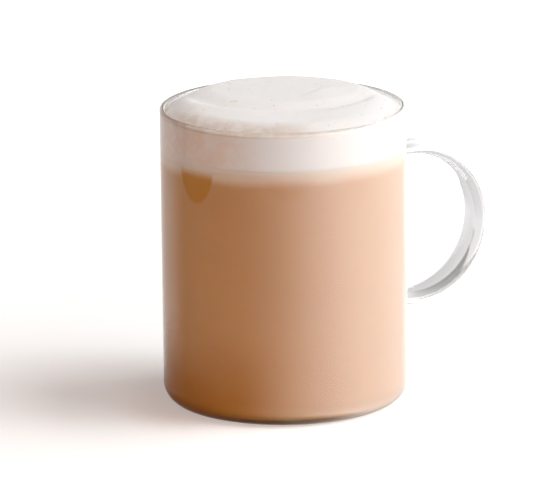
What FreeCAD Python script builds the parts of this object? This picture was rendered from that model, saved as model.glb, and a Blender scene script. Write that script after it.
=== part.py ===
"""A brimful glass mug of milky coffee: the mug, the coffee, the beige layer and the milk foam.

The frame is in millimetres, +Z up, with the origin on the mug's axis in the plane of its foot.
The handle points along +X. Every driving dimension is a cell of the spreadsheet.
"""

import FreeCAD, Part

import os
from math import atan2, cos, degrees, exp, hypot, pi, radians, sin

import Sketcher

SIZES = {
    # the mug's cup
    "outer_diameter": 80.0,
    "mug_height": 98.0,
    "wall_thickness": 2.0,
    "base_thickness": 3.2,
    "heel_radius": 6.5,
    "foot_width": 6.0,
    "punt_depth": 1.0,
    # the mug's handle
    "handle_middle": 54.0,
    "handle_radius": 25.4,
    "handle_run": 4.7,
    "strap_width": 12.4,
    "strap_thickness": 4.7,
    "joint_fillet": 1.5,
    # levels below the rim, and the depth of the beige layer
    "coffee_drop": 15.0,
    "beige_depth": 2.0,
    "foam_drop": 1.7,
    # the foam's shoulder beside the glass
    "shoulder_rise": 3.1,
    "shoulder_width": 9.0,
    # the spooned heap on the foam, an oval
    "heap_x": 0.5,
    "heap_y": 12.0,
    "heap_half_width": 28.0,
    "heap_half_depth": 22.0,
    "heap_roll": 7.5,
    "heap_rise": 1.1,
    # how far the foam's pattern is turned round from the handle's plane, in degrees
    "pattern_turn": 25.6,
    "wall_fade": 5.0,
}

# Strokes of the spoon in the foam. Each is a ridge along an arc, steep on its inner side:
# the arc's centre and radius, the angle of its middle and half its sweep in degrees, the
# ridge's height, and its widths inside and outside the crest.
STROKE_WORDS = ("x", "y", "radius", "middle", "half_sweep", "height", "inside", "outside")
STROKES = {
    "short_stroke": (-37.3, 40.1, 60.0, -34.0, 12.0, 0.65, 1.6, 6.5),
    "right_stroke": (-2.0, 14.0, 34.2, -36.0, 42.0, 0.55, 1.8, 5.0),
    "left_stroke": (-6.0, 10.0, 26.5, 235.0, 75.0, 0.70, 2.6, 3.5),
}

# The foam's surface passes through the points of a square grid that reaches past the glass.
GRID_STEPS = 40
GRID_MARGIN = 1.0

doc = FreeCAD.newDocument("milky_coffee")
sheet = doc.addObject("Spreadsheet::Sheet", "sizes")


def fill_sheet():
    """Each size is a row: its name, and its value as plain text with the name as its alias."""
    rows = dict(SIZES)
    for stroke, values in STROKES.items():
        for word, value in zip(STROKE_WORDS, values):
            rows[f"{stroke}_{word}"] = value
    for row, (alias, value) in enumerate(rows.items(), start=1):
        sheet.set(f"A{row}", alias)
        sheet.set(f"B{row}", str(value))
        sheet.setAlias(f"B{row}", alias)
    doc.recompute()


def size(alias):
    return float(getattr(sheet, alias))


def new_body(name):
    body = doc.addObject("PartDesign::Body", name)
    body.Label = name
    return body


def new_sketch(body, name, role):
    """A sketch on one of the body's own origin planes."""
    sketch = body.newObject("Sketcher::SketchObject", name)
    plane = next(feature for feature in body.Origin.OriginFeatures if feature.Role == role)
    sketch.AttachmentSupport = [(plane, "")]
    sketch.MapMode = "FlatFace"
    return sketch


# Sketcher's own numbers: the origin and the two axes, and the points of a piece of geometry.
ORIGIN_AND_X_AXIS = -1
Y_AXIS = -2
START, END, MIDDLE = 1, 2, 3


def flat(point):
    return FreeCAD.Vector(point[0], point[1], 0)


def add_line(sketch, start, end):
    return sketch.addGeometry(Part.LineSegment(flat(start), flat(end)), False)


def add_arc(sketch, start, through, end):
    return sketch.addGeometry(Part.Arc(flat(start), flat(through), flat(end)), False)


def relate(sketch, kind, *where):
    sketch.addConstraint(Sketcher.Constraint(kind, *where))


def drive(sketch, kind, *where, by):
    """A dimension that follows an expression on the sheet's cells."""
    value = float(sketch.evalExpression(by))
    index = sketch.addConstraint(Sketcher.Constraint(kind, *where, value))
    sketch.setExpression(f"Constraints[{index}]", by)


def place(sketch, geometry, point, across=None, up=None):
    """Pins a point at distances from the origin, each given as an expression."""
    if across is not None:
        drive(sketch, "DistanceX", ORIGIN_AND_X_AXIS, START, geometry, point, by=across)
    if up is not None:
        drive(sketch, "DistanceY", ORIGIN_AND_X_AXIS, START, geometry, point, by=up)


def arc_start(sketch, arc, corner):
    """Which end of an arc lies at a corner: Sketcher turns every arc counterclockwise."""
    near = sketch.getPoint(arc, START).distanceToPoint(flat(corner))
    far = sketch.getPoint(arc, END).distanceToPoint(flat(corner))
    return START if near < far else END


OUTER_RADIUS = "sizes.outer_diameter / 2"
INNER_RADIUS = "(sizes.outer_diameter / 2 - sizes.wall_thickness)"
INNER_HEEL = "(sizes.heel_radius - sizes.wall_thickness)"
RIM_RADIUS = "sizes.wall_thickness / 2"
PUNT_RADIUS = "sizes.outer_diameter / 2 - sizes.heel_radius - sizes.foot_width"
COFFEE_LEVEL = "(sizes.mug_height - sizes.coffee_drop)"
FOAM_BOTTOM = f"({COFFEE_LEVEL} + sizes.beige_depth)"


def revolve(body, sketch, name):
    """Turns a profile once round the vertical axis."""
    turned = body.newObject("PartDesign::Revolution", name)
    turned.Profile = sketch
    turned.ReferenceAxis = (sketch, ["V_Axis"])
    turned.Angle = 360.0
    sketch.Visibility = False
    doc.recompute()
    return turned


def cup_profile(body):
    """Half the cup's section: the punt, the foot's ring, the heel, the wall and its round rim."""
    outer = size("outer_diameter") / 2
    inner = outer - size("wall_thickness")
    heel = size("heel_radius")
    inner_heel = heel - size("wall_thickness")
    floor = size("base_thickness")
    rim_base = size("mug_height") - size("wall_thickness") / 2
    bend = 1 - cos(pi / 4)

    punt_edge = outer - heel - size("foot_width")
    top_of_punt = (0, size("punt_depth"))
    foot_inside = (punt_edge, 0)
    foot_outside = (outer - heel, 0)
    heel_top = (outer, heel)
    rim_outside = (outer, rim_base)
    rim_inside = (inner, rim_base)
    inner_heel_top = (inner, floor + inner_heel)
    floor_edge = (inner - inner_heel, floor)
    floor_middle = (0, floor)

    # drawn across the handle's plane, so that the turned cup's seam stays clear of the handle
    sketch = new_sketch(body, "cup_profile", "YZ_Plane")
    punt_through = (punt_edge / 2, size("punt_depth") * 3 / 4)
    heel_through = (outer - heel * bend, heel * bend)
    rim_through = ((outer + inner) / 2, size("mug_height"))
    inner_through = (inner - inner_heel * bend, floor + inner_heel * bend)

    punt = add_arc(sketch, top_of_punt, punt_through, foot_inside)
    foot = add_line(sketch, foot_inside, foot_outside)
    corner = add_arc(sketch, foot_outside, heel_through, heel_top)
    wall = add_line(sketch, heel_top, rim_outside)
    rim = add_arc(sketch, rim_outside, rim_through, rim_inside)
    bore = add_line(sketch, rim_inside, inner_heel_top)
    inner_corner = add_arc(sketch, inner_heel_top, inner_through, floor_edge)
    floor_line = add_line(sketch, floor_edge, floor_middle)
    axis_line = add_line(sketch, floor_middle, top_of_punt)

    relate(sketch, "Coincident", foot, START, punt, arc_start(sketch, punt, foot_inside))
    relate(sketch, "Tangent", foot, END, corner, arc_start(sketch, corner, foot_outside))
    relate(sketch, "Tangent", wall, START, corner, arc_start(sketch, corner, heel_top))
    relate(sketch, "Tangent", wall, END, rim, arc_start(sketch, rim, rim_outside))
    relate(sketch, "Tangent", bore, START, rim, arc_start(sketch, rim, rim_inside))
    relate(sketch, "Tangent", bore, END, inner_corner, arc_start(sketch, inner_corner, inner_heel_top))
    relate(sketch, "Tangent", floor_line, START, inner_corner, arc_start(sketch, inner_corner, floor_edge))
    relate(sketch, "Coincident", floor_line, END, axis_line, START)
    relate(sketch, "Coincident", axis_line, END, punt, arc_start(sketch, punt, top_of_punt))
    for upright in (wall, bore):
        relate(sketch, "Vertical", upright)
    for level in (foot, floor_line):
        relate(sketch, "Horizontal", level)
    relate(sketch, "PointOnObject", foot, START, ORIGIN_AND_X_AXIS)
    relate(sketch, "PointOnObject", axis_line, START, Y_AXIS)
    relate(sketch, "PointOnObject", axis_line, END, Y_AXIS)
    relate(sketch, "PointOnObject", punt, MIDDLE, Y_AXIS)

    place(sketch, foot, START, across=PUNT_RADIUS)
    place(sketch, axis_line, END, up="sizes.punt_depth")
    place(sketch, floor_line, END, up="sizes.base_thickness")
    place(sketch, wall, END, across=OUTER_RADIUS, up=f"sizes.mug_height - {RIM_RADIUS}")
    drive(sketch, "Radius", corner, by="sizes.heel_radius")
    drive(sketch, "Radius", rim, by=RIM_RADIUS)
    drive(sketch, "Radius", inner_corner, by=INNER_HEEL)
    return sketch


def handle_path(body):
    """The middle line of the handle's strap: a run out from the wall, half a circle, a run back."""
    root = (size("outer_diameter") - size("wall_thickness")) / 2
    centre = size("outer_diameter") / 2 + size("handle_run")
    middle = size("handle_middle")
    radius = size("handle_radius")

    sketch = new_sketch(body, "handle_path", "XZ_Plane")
    upper = add_line(sketch, (root, middle + radius), (centre, middle + radius))
    bow = add_arc(sketch, (centre, middle + radius), (centre + radius, middle), (centre, middle - radius))
    lower = add_line(sketch, (centre, middle - radius), (root, middle - radius))

    relate(sketch, "Tangent", upper, END, bow, arc_start(sketch, bow, (centre, middle + radius)))
    relate(sketch, "Tangent", lower, START, bow, arc_start(sketch, bow, (centre, middle - radius)))
    relate(sketch, "Horizontal", upper)
    relate(sketch, "Horizontal", lower)
    relate(sketch, "Vertical", upper, START, lower, END)
    place(sketch, upper, START, across=f"{OUTER_RADIUS} - {RIM_RADIUS}")
    place(sketch, bow, MIDDLE, across=f"{OUTER_RADIUS} + sizes.handle_run", up="sizes.handle_middle")
    drive(sketch, "Radius", bow, by="sizes.handle_radius")
    return sketch


def strap_section(body):
    """The strap's oval section, standing in the wall at the start of the path."""
    height = size("handle_middle") + size("handle_radius")
    half_width = size("strap_width") / 2
    half_thickness = size("strap_thickness") / 2

    sketch = new_sketch(body, "strap_section", "YZ_Plane")
    sketch.setExpression("AttachmentOffset.Base.z", f"{OUTER_RADIUS} - {RIM_RADIUS}")
    oval = sketch.addGeometry(
        Part.Ellipse(flat((half_width, height)), flat((0, height + half_thickness)), flat((0, height))),
        False,
    )
    relate(sketch, "PointOnObject", oval, MIDDLE, Y_AXIS)
    place(sketch, oval, MIDDLE, up="sizes.handle_middle + sizes.handle_radius")
    sketch.exposeInternalGeometry(oval)
    long_axis, short_axis = oval + 1, oval + 2
    relate(sketch, "Horizontal", long_axis)
    drive(sketch, "Distance", long_axis, START, long_axis, END, by="sizes.strap_width")
    drive(sketch, "Distance", short_axis, START, short_axis, END, by="sizes.strap_thickness")
    return sketch


def joint_edges(shape):
    """The closed seams where the strap leaves the wall: short edges that lie on the wall."""
    wall_radius = size("outer_diameter") / 2
    half_width = size("strap_width") / 2
    names = []
    for number, edge in enumerate(shape.Edges, start=1):
        if edge.Degenerated:
            continue
        box = edge.BoundBox
        points = edge.discretize(9)
        on_wall = all(abs(hypot(point.x, point.y) - wall_radius) < 0.01 for point in points)
        narrow = box.YMax <= half_width + 0.01 and box.YMin >= -half_width - 0.01
        if on_wall and narrow and box.XMin > 0 and box.YLength > 0.01:
            names.append(f"Edge{number}")
    return names


def build_mug():
    """The cup and its handle are one piece of glass."""
    body = new_body("glass_mug")
    revolve(body, cup_profile(body), "cup")
    path = handle_path(body)
    section = strap_section(body)
    doc.recompute()
    strap = body.newObject("PartDesign::AdditivePipe", "strap")
    strap.Profile = section
    strap.Spine = (path, [])
    doc.recompute()
    fillet = body.newObject("PartDesign::Fillet", "joint_fillets")
    fillet.Base = (strap, joint_edges(strap.Shape))
    fillet.setExpression("Radius", "sizes.joint_fillet")
    body.Tip = fillet
    doc.recompute()
    return body


def build_coffee():
    """The coffee fills the cup from its floor, heel and all, to its level."""
    inner = size("outer_diameter") / 2 - size("wall_thickness")
    inner_heel = size("heel_radius") - size("wall_thickness")
    floor = size("base_thickness")
    level = size("mug_height") - size("coffee_drop")
    bend = 1 - cos(pi / 4)

    body = new_body("coffee")
    sketch = new_sketch(body, "coffee_profile", "XZ_Plane")
    through = (inner - inner_heel * bend, floor + inner_heel * bend)
    bottom = add_line(sketch, (0, floor), (inner - inner_heel, floor))
    corner = add_arc(sketch, (inner - inner_heel, floor), through, (inner, floor + inner_heel))
    side = add_line(sketch, (inner, floor + inner_heel), (inner, level))
    top = add_line(sketch, (inner, level), (0, level))
    axis_line = add_line(sketch, (0, level), (0, floor))

    relate(sketch, "Tangent", bottom, END, corner, arc_start(sketch, corner, (inner - inner_heel, floor)))
    relate(sketch, "Tangent", side, START, corner, arc_start(sketch, corner, (inner, floor + inner_heel)))
    relate(sketch, "Coincident", side, END, top, START)
    relate(sketch, "Coincident", top, END, axis_line, START)
    relate(sketch, "Coincident", axis_line, END, bottom, START)
    relate(sketch, "Horizontal", bottom)
    relate(sketch, "Horizontal", top)
    relate(sketch, "Vertical", side)
    relate(sketch, "PointOnObject", axis_line, START, Y_AXIS)
    relate(sketch, "PointOnObject", axis_line, END, Y_AXIS)
    place(sketch, bottom, START, up="sizes.base_thickness")
    place(sketch, side, END, across=INNER_RADIUS, up=COFFEE_LEVEL)
    drive(sketch, "Radius", corner, by=INNER_HEEL)
    revolve(body, sketch, "coffee_fill")
    return body


def build_beige_layer():
    """The thin layer between the coffee and the foam, where the two have mixed."""
    layer = doc.addObject("Part::Cylinder", "beige_layer")
    layer.Label = "beige_layer"
    layer.setExpression("Radius", INNER_RADIUS)
    layer.setExpression("Height", "sizes.beige_depth")
    layer.setExpression("Placement.Base.z", COFFEE_LEVEL)
    return layer


def smooth_step(share):
    share = min(1.0, max(0.0, share))
    return share * share * (3 - 2 * share)


def stroke_height(stroke, x, y):
    """The ridge that one stroke leaves at a point, fading out towards the stroke's ends."""
    cell = {word: size(f"{stroke}_{word}") for word in STROKE_WORDS}
    dx, dy = x - cell["x"], y - cell["y"]
    off_middle = (degrees(atan2(dy, dx)) - cell["middle"] + 180) % 360 - 180
    if abs(off_middle) >= cell["half_sweep"]:
        return 0.0
    along = cos(off_middle / cell["half_sweep"] * pi / 2) ** 2
    from_crest = hypot(dx, dy) - cell["radius"]
    width = cell["inside"] if from_crest < 0 else cell["outside"]
    return cell["height"] * along * exp(-((from_crest / width) ** 2))


def heap_height(x, y):
    """The heap's flat top inside its oval, with a rounded roll at the oval's edge."""
    across = (x - size("heap_x")) / size("heap_half_width")
    deep = (y - size("heap_y")) / size("heap_half_depth")
    inwards = (1 - hypot(across, deep)) * size("heap_half_depth")
    return size("heap_rise") * smooth_step(0.5 + inwards / size("heap_roll"))


def foam_height(x, y):
    """The foam's top at a point of the mug's frame."""
    turn = radians(size("pattern_turn"))
    along, deep = x * cos(turn) - y * sin(turn), x * sin(turn) + y * cos(turn)
    from_wall = size("outer_diameter") / 2 - size("wall_thickness") - hypot(x, y)
    shoulder = 1 - (1 - min(1.0, from_wall / size("shoulder_width"))) ** 2
    relief = heap_height(along, deep) + sum(stroke_height(name, along, deep) for name in STROKES)
    edge = size("mug_height") - size("foam_drop")
    return edge + size("shoulder_rise") * shoulder + relief * smooth_step(from_wall / size("wall_fade"))


def build_foam():
    """The foam: a smooth surface through the foam's heights, filled down to the beige layer."""
    inner = size("outer_diameter") / 2 - size("wall_thickness")
    bottom = size("mug_height") - size("coffee_drop") + size("beige_depth")
    reach = inner + GRID_MARGIN
    ticks = [reach * (2 * step / GRID_STEPS - 1) for step in range(GRID_STEPS + 1)]
    top = Part.BSplineSurface()
    top.interpolate([[FreeCAD.Vector(x, y, foam_height(x, y)) for y in ticks] for x in ticks])
    under_top = top.toShape().extrude(FreeCAD.Vector(0, 0, -size("mug_height")))
    column = Part.makeCylinder(inner, size("mug_height"), FreeCAD.Vector(0, 0, bottom))
    foam = doc.addObject("Part::Feature", "milk_foam")
    foam.Label = "milk_foam"
    foam.Shape = column.common(under_top).Solids[0]
    foam.Placement = FreeCAD.Placement()
    return foam


def check_document(pieces):
    """Stops if a feature failed or a piece isn't one valid solid."""
    failed = [item.Name for item in doc.Objects if {"Invalid", "Error"} & set(item.State)]
    if failed:
        raise RuntimeError("failed: " + ", ".join(failed))
    for piece in pieces:
        shape = piece.Shape
        if shape.isNull() or not shape.isValid() or len(shape.Solids) != 1:
            raise RuntimeError(piece.Label + " isn't one valid solid")


def main():
    fill_sheet()
    pieces = [build_mug(), build_coffee(), build_beige_layer(), build_foam()]
    doc.recompute()
    check_document(pieces)
    os.makedirs("parts", exist_ok=True)
    for piece in pieces:
        piece.Shape.exportStep(f"parts/{piece.Label}.step")
        box = piece.Shape.BoundBox
        print(f"{piece.Label}: {piece.Shape.Volume / 1000:.2f} ml, z {box.ZMin:.2f} to {box.ZMax:.2f}")


main()
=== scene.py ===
"""The looks of a brimful glass mug of milky coffee, built round its packed frame.

Lengths are metres in the frame of the CAD model: the mug stands on z = 0 with its axis on the
origin and its handle along +X.
"""

from math import cos, pi, radians, sin, sqrt

import bpy
import numpy as np
from mathutils import Matrix, Vector, noise


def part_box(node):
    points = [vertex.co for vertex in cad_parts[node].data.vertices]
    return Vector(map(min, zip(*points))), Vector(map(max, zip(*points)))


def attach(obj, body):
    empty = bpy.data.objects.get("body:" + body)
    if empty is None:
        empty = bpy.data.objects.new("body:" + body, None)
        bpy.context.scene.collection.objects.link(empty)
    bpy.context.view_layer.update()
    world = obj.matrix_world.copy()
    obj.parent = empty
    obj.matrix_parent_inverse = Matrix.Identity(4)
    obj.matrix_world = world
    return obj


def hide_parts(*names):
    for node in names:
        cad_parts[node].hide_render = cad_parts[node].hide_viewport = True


bl_info = {
    "name": "Glass mug of milky coffee",
    "version": (1, 0, 0),
    "blender": (4, 5, 0),
    "location": "View3D > Sidebar > Drink",
    "description": "Models the drink, its foam and its glass, and lights them on a pale table",
    "category": "Object",
}

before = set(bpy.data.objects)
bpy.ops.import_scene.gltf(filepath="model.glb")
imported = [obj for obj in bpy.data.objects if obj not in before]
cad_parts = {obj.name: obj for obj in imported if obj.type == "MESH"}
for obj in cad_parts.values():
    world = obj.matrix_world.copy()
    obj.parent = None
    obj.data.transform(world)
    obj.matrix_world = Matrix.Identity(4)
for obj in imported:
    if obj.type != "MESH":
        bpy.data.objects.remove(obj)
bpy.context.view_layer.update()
MM = 0.001
TOUCH = 0.01 * MM

MUG_LOW, MUG_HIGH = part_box("glass_mug")
COFFEE_LOW, COFFEE_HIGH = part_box("coffee")
BEIGE_LOW, BEIGE_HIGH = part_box("beige_layer")
FOAM_LOW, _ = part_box("milk_foam")
RIM_HEIGHT = MUG_HIGH.z
INNER_RADIUS = COFFEE_HIGH.x
OUTER_RADIUS = -MUG_LOW.x


# ---------- sizes and colours that a user would change


def setting(kind, **fixed):
    """A kind of setting, to be given its name, its description and its default."""
    return lambda name, description, default: kind(
        name=name, description=description, default=default, **fixed
    )


length = setting(bpy.props.FloatProperty, unit="LENGTH", subtype="DISTANCE", precision=5)
share = setting(bpy.props.FloatProperty, min=0.0, max=1.0, subtype="FACTOR")
angle = setting(bpy.props.FloatProperty, unit="ROTATION", subtype="ANGLE")
number = setting(bpy.props.FloatProperty)
colour = setting(bpy.props.FloatVectorProperty, size=3, min=0.0, max=1.0, subtype="COLOR")


class GlassSettings(bpy.types.PropertyGroup):
    """The mug's glass"""

    tint: colour("Tint", "Colour of light through the glass", (0.985, 0.985, 0.982))
    ior: number("Index", "Index of refraction of the glass", 1.48)
    unbent: colour("Unbent", "Colour of light that passes the glass unbent", (0.97, 0.97, 0.965))
    smear: share("Smears", "Roughness of the faint smears left by washing", 0.012)
    ripple: length("Ripple", "Height of the slow ripple of blown glass", 0.01 * MM)


class DrinkSettings(bpy.types.PropertyGroup):
    """The coffee and the beige layer"""

    overlap: length("Overlap", "How far the drink reaches into the glass", 0.12 * MM)
    heel: length("Heel", "Radius of the coffee's rounded bottom edge", 4.5 * MM)
    coffee: colour("Coffee", "Colour of the milky coffee", (0.565, 0.305, 0.135))
    dark_coffee: colour("Dark coffee", "Colour of the dark coffee under the foam", (0.52, 0.24, 0.045))
    # Painted shade: colour of the coffee low on its shaded side, darker and more saturated there.
    painted_low_shade: colour("Dregs", "Colour of the coffee settled low on one side", (0.42, 0.155, 0.004))
    beige: colour("Beige", "Colour of the layer where foam and coffee mix", (0.74, 0.575, 0.45))
    beige_top: colour("Beige top", "Colour of the mixed layer where the foam starts", (0.76, 0.68, 0.60))
    outline: colour("Bubble outlines", "Colour round the fine bubbles in the beige layer", (0.55, 0.38, 0.25))
    depth: length("Depth", "How far light wanders in the coffee", 1.2 * MM)


class FoamSettings(bpy.types.PropertyGroup):
    """The milk foam"""

    edge_drop: length("Edge drop", "How far below the rim the foam meets the glass", 1.7 * MM)
    shoulder_rise: length("Shoulder rise", "Rise from the glass to the foam's top", 3.1 * MM)
    shoulder_width: length("Shoulder width", "Width of the foam's shoulder", 9.0 * MM)
    heap_rise: length("Heap rise", "Height of the spooned heap", 1.1 * MM)
    heap_roll: length("Heap roll", "Width of the heap's rolled edge", 7.5 * MM)
    relief: number("Relief", "How much the heap and the strokes stand out", 1.35)
    climb: length("Climb", "How far the foam climbs the glass at its edge", 0.3 * MM)
    pattern_turn: angle("Turn", "Turn of the foam's pattern from the handle's plane", radians(25.6))
    lumps: length("Lumps", "Height of the foam's soft lumps", 0.12 * MM)
    pores: length("Pores", "Depth of the burst bubbles in the foam's top", 0.035 * MM)
    white: colour("White", "Colour of the milk foam", (0.785, 0.772, 0.762))
    cream: colour("Cream", "Colour of the foam just above the beige layer", (0.775, 0.735, 0.70))
    outline: colour("Bubble outlines", "Colour round the fine bubbles in the foam", (0.62, 0.56, 0.50))
    # Painted warm shade: colour of the foam's side at the glass on its shaded side.
    painted_side_shade: colour("Stain", "Colour of the stained foam at the glass", (0.76, 0.61, 0.51))
    crema: colour("Crema", "Colour of the coffee run over the foam's edge", (0.58, 0.49, 0.42))
    skin: colour("Bubble skin", "Darker colour of the bubbles on the foam", (0.80, 0.765, 0.72))
    window: colour("Window", "Colour of the bubbles against the glass", (0.93, 0.92, 0.90))
    dull_window: colour("Dull window", "Darker colour of those bubbles", (0.80, 0.74, 0.67))


class StageSettings(bpy.types.PropertyGroup):
    """Camera, lamps and table"""

    lens: number("Lens", "Focal length of the camera in millimetres", 441.8)
    distance: length("Distance", "From the camera to the middle of the mug", 2.2)
    elevation: angle("Elevation", "Height of the camera above the table, as an angle", radians(14.425))
    turn: angle("Turn", "Turn of the camera from the handle's plane", radians(25.7))
    roll: angle("Roll", "Tilt of the camera about its own axis", radians(-0.656))
    high_key: number("High lamp", "Power of the lamp high on the right, in watts", 5.7)
    side_key: number("Side lamp", "Power of the lamp at the front right, in watts", 3.4)
    fill: number("Fill", "Strength of the warm soft light from the front", 1.13)
    fill_colour: colour("Fill colour", "Colour of the warm soft light", (1.0, 0.78, 0.70))
    softbox: number("Softbox", "Brightness of the softbox mirrored on the right", 7.7)
    room: number("Room", "Brightness of the dark room mirrored on the left", 0.16)
    room_through: number("Room through glass", "Brightness of the room seen through the glass", 0.25)
    studio_colour: colour("Studio colour", "Colour of what the glass mirrors", (1.0, 0.98, 0.965))
    lamp_colour: colour("Lamp colour", "Colour of the two lamps", (0.94, 0.985, 1.0))
    table: colour("Table", "Colour of the table", (0.86, 0.85, 0.84))
    table_clouds: colour("Table clouds", "Colour of faint clouds in the table", (0.8, 0.79, 0.78))
    # Painted warm shade: colour of the table close beside the coffee on its shaded side.
    painted_warm_shade: colour("Warm table", "Colour of the table beside the coffee", (0.68, 0.53, 0.43))
    glow: number("Table glow", "How much brighter the near table looks than its lit colour", 0.30)
    far_glow: number("Far glow", "How much brighter the far table looks than its lit colour", 0.9)
    near_through: number("Near table", "Brightness of the near table seen through the glass", 0.68)
    far_through: number("Far table", "Brightness of the far table seen through the glass", 0.86)
    through_colour: colour("Bent table", "Colour of the table seen through the glass", (0.99, 0.975, 0.99))


# Strokes of the spoon in the foam. Each is a ridge along an arc, steep on its inner side: the
# arc's centre and radius in mm, the angle of its middle and half its sweep in degrees, the
# ridge's height in mm, and its widths inside and outside the crest in mm.
STROKES = (
    (-37.3, 40.1, 60.0, -34.0, 12.0, 0.65, 1.6, 6.5),
    (-2.0, 14.0, 34.2, -36.0, 42.0, 0.55, 1.8, 5.0),
    (-6.0, 10.0, 26.5, 235.0, 75.0, 0.70, 2.6, 3.5),
)
# The heap's oval in mm: its middle, half its width and half its depth.
HEAP = (0.5, 12.0, 28.0, 22.0)
# The foam calms down towards the glass over the first width, and climbs it over the second.
WALL_FADE = 5.0 * MM
CLIMB_WIDTH = 0.9 * MM

# Darker coffee hangs from the beige layer in rounded tongues: the angle round the mug in
# degrees, half the width and the length in mm, and how dark it is from 0 to 1.
TONGUES = (
    (198.0, 7.2, 10.5, 0.95),
    (247.0, 8.5, 7.5, 0.22),
    (282.0, 7.0, 9.5, 0.25),
    (330.0, 6.0, 6.5, 0.3),
    (22.0, 8.0, 8.0, 0.45),
    (66.0, 5.5, 7.0, 0.25),
    (104.0, 9.0, 9.0, 0.4),
    (150.0, 6.5, 6.0, 0.3),
)

# Sides of the mug that are coloured or lit apart: an angle round it in degrees, and the cosines
# of the angles from there at which the effect starts and is full.
# Painted shade low on the coffee's shaded side.
LOW_SHADE_SIDE = (183.0, 0.38, 0.97)
# Painted warm shade on the foam's side at the glass.
SHADE_PAINTED_FOAM_SIDE = (188.0, 0.62, 0.98)
SPLASHED_SIDE = (212.0, 0.55, 0.92)
RING_SIDE = (188.0, -0.5, 0.7)
# Painted warm shade on the table beside the coffee.
PAINTED_WARM_SIDE = (162.0, 0.60, 0.98)
SHADED_SIDE = (158.0, 0.45, 0.95)


# ---------- modelling helpers


def select_nothing():
    if bpy.context.object and bpy.context.object.mode != "OBJECT":
        bpy.ops.object.mode_set(mode="OBJECT")
    bpy.ops.object.select_all(action="DESELECT")


def named(name):
    """The object that an operator has just added, given its name."""
    piece = bpy.context.object
    piece.name = name
    piece.data.name = name
    return piece


def select_edges(piece, test):
    """Selects the edges whose two ends pass a test, in edit mode's edge mode."""
    bpy.ops.object.mode_set(mode="OBJECT")
    mesh = piece.data
    mesh.polygons.foreach_set("select", [False] * len(mesh.polygons))
    mesh.vertices.foreach_set("select", [False] * len(mesh.vertices))
    for edge in mesh.edges:
        edge.select = all(test(mesh.vertices[index].co) for index in edge.vertices)
    bpy.ops.object.mode_set(mode="EDIT")
    bpy.ops.mesh.select_mode(type="EDGE")


def settle(piece, flat_above=40.0):
    """Puts the piece's place in its mesh, and shades it smooth but for its sharp edges."""
    bpy.ops.object.mode_set(mode="OBJECT")
    select_nothing()
    piece.select_set(True)
    bpy.context.view_layer.objects.active = piece
    bpy.ops.object.transform_apply(location=True, rotation=True, scale=True)
    bpy.ops.object.shade_smooth_by_angle(angle=radians(flat_above))
    piece.select_set(False)


def points_of(mesh):
    found = np.empty(len(mesh.vertices) * 3)
    mesh.vertices.foreach_get("co", found)
    return found.reshape(-1, 3)


def finish_piece(piece, material, slot, *nodes):
    """Gives a piece its material and body, and hides the CAD nodes that it replaces. The slot is not used."""
    piece.data.materials.clear()
    piece.data.materials.append(material)
    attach(piece, "root")
    if nodes:
        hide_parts(*nodes)


# ---------- material helpers

LEVEL = (1.0, 1.0, 0.0)
UP = (0.0, 0.0, 1.0)
WHITE = (1.0, 1.0, 1.0)


class Nodes:
    """Adds nodes to a tree and links them."""

    def __init__(self, tree, material=None):
        self.tree = tree
        self.material = material

    def add(self, kind, **settings):
        """Adds a shader node, whose kind is given without its "ShaderNode"."""
        node = self.tree.nodes.new("ShaderNode" + kind)
        for name, value in settings.items():
            setattr(node, name, value)
        return node

    def link(self, start, end):
        self.tree.links.new(start, end)

    def feed(self, node, values):
        """Sets or links a node's inputs, given as a dict from a socket's name or number."""
        for key, value in values.items():
            socket = node.inputs[key]
            if isinstance(value, bpy.types.NodeSocket):
                self.link(value, socket)
            elif socket.type == "RGBA":
                socket.default_value = (*value[:3], 1.0)
            else:
                socket.default_value = value
        return node

    def math(self, operation, first, second=0.0):
        node = self.add("Math", operation=operation)
        return self.feed(node, {0: first, 1: second}).outputs[0]

    def times(self, first, second):
        return self.math("MULTIPLY", first, second)

    def vector(self, operation, first, second=(0.0, 0.0, 0.0), output="Vector"):
        node = self.add("VectorMath", operation=operation)
        return self.feed(node, {0: first, 1: second}).outputs[output]

    def dot(self, first, second):
        return self.vector("DOT_PRODUCT", first, second, "Value")

    def length(self, vector):
        return self.vector("LENGTH", vector, output="Value")

    def step(self, value, start, end, low=0.0, high=1.0, kind="SMOOTHSTEP"):
        """The value carried from one range to another, and kept within it."""
        node = self.add("MapRange", interpolation_type=kind)
        values = {"Value": value, "From Min": start, "From Max": end, "To Min": low, "To Max": high}
        return self.feed(node, values).outputs["Result"]

    def mix(self, factor, first, second, blend="MIX"):
        """Mixes two colours, each a socket or a tuple."""
        node = self.add("Mix", data_type="RGBA", blend_type=blend)
        return self.feed(node, {0: factor, 6: first, 7: second}).outputs[2]

    def mix_shaders(self, factor, first, second):
        """Mixes two shaders, given as nodes, and gives the node that mixes them."""
        node = self.add("MixShader")
        return self.feed(node, {0: factor, 1: first.outputs[0], 2: second.outputs[0]})

    def principled(self, values):
        return self.feed(self.add("BsdfPrincipled"), values)

    def surface(self, shader, output="OutputMaterial"):
        """Makes a shader, given as a node, the whole surface, and gives the material."""
        self.link(shader.outputs[0], self.add(output).inputs["Surface"])
        return self.material

    def noise(self, place, scale, detail=2.0, roughness=0.5):
        values = {"Vector": place, "Scale": scale, "Detail": detail, "Roughness": roughness}
        return self.feed(self.add("TexNoise"), values).outputs["Fac"]

    def cells(self, place, scale):
        node = self.add("TexVoronoi")
        return self.feed(node, {"Vector": place, "Scale": scale}).outputs["Distance"]

    def bump(self, height, distance, strength, **under):
        """A normal with relief, which may lie on another, given as Normal."""
        values = {"Height": height, "Distance": distance, "Strength": strength, **under}
        return self.feed(self.add("Bump"), values).outputs["Normal"]


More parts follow.
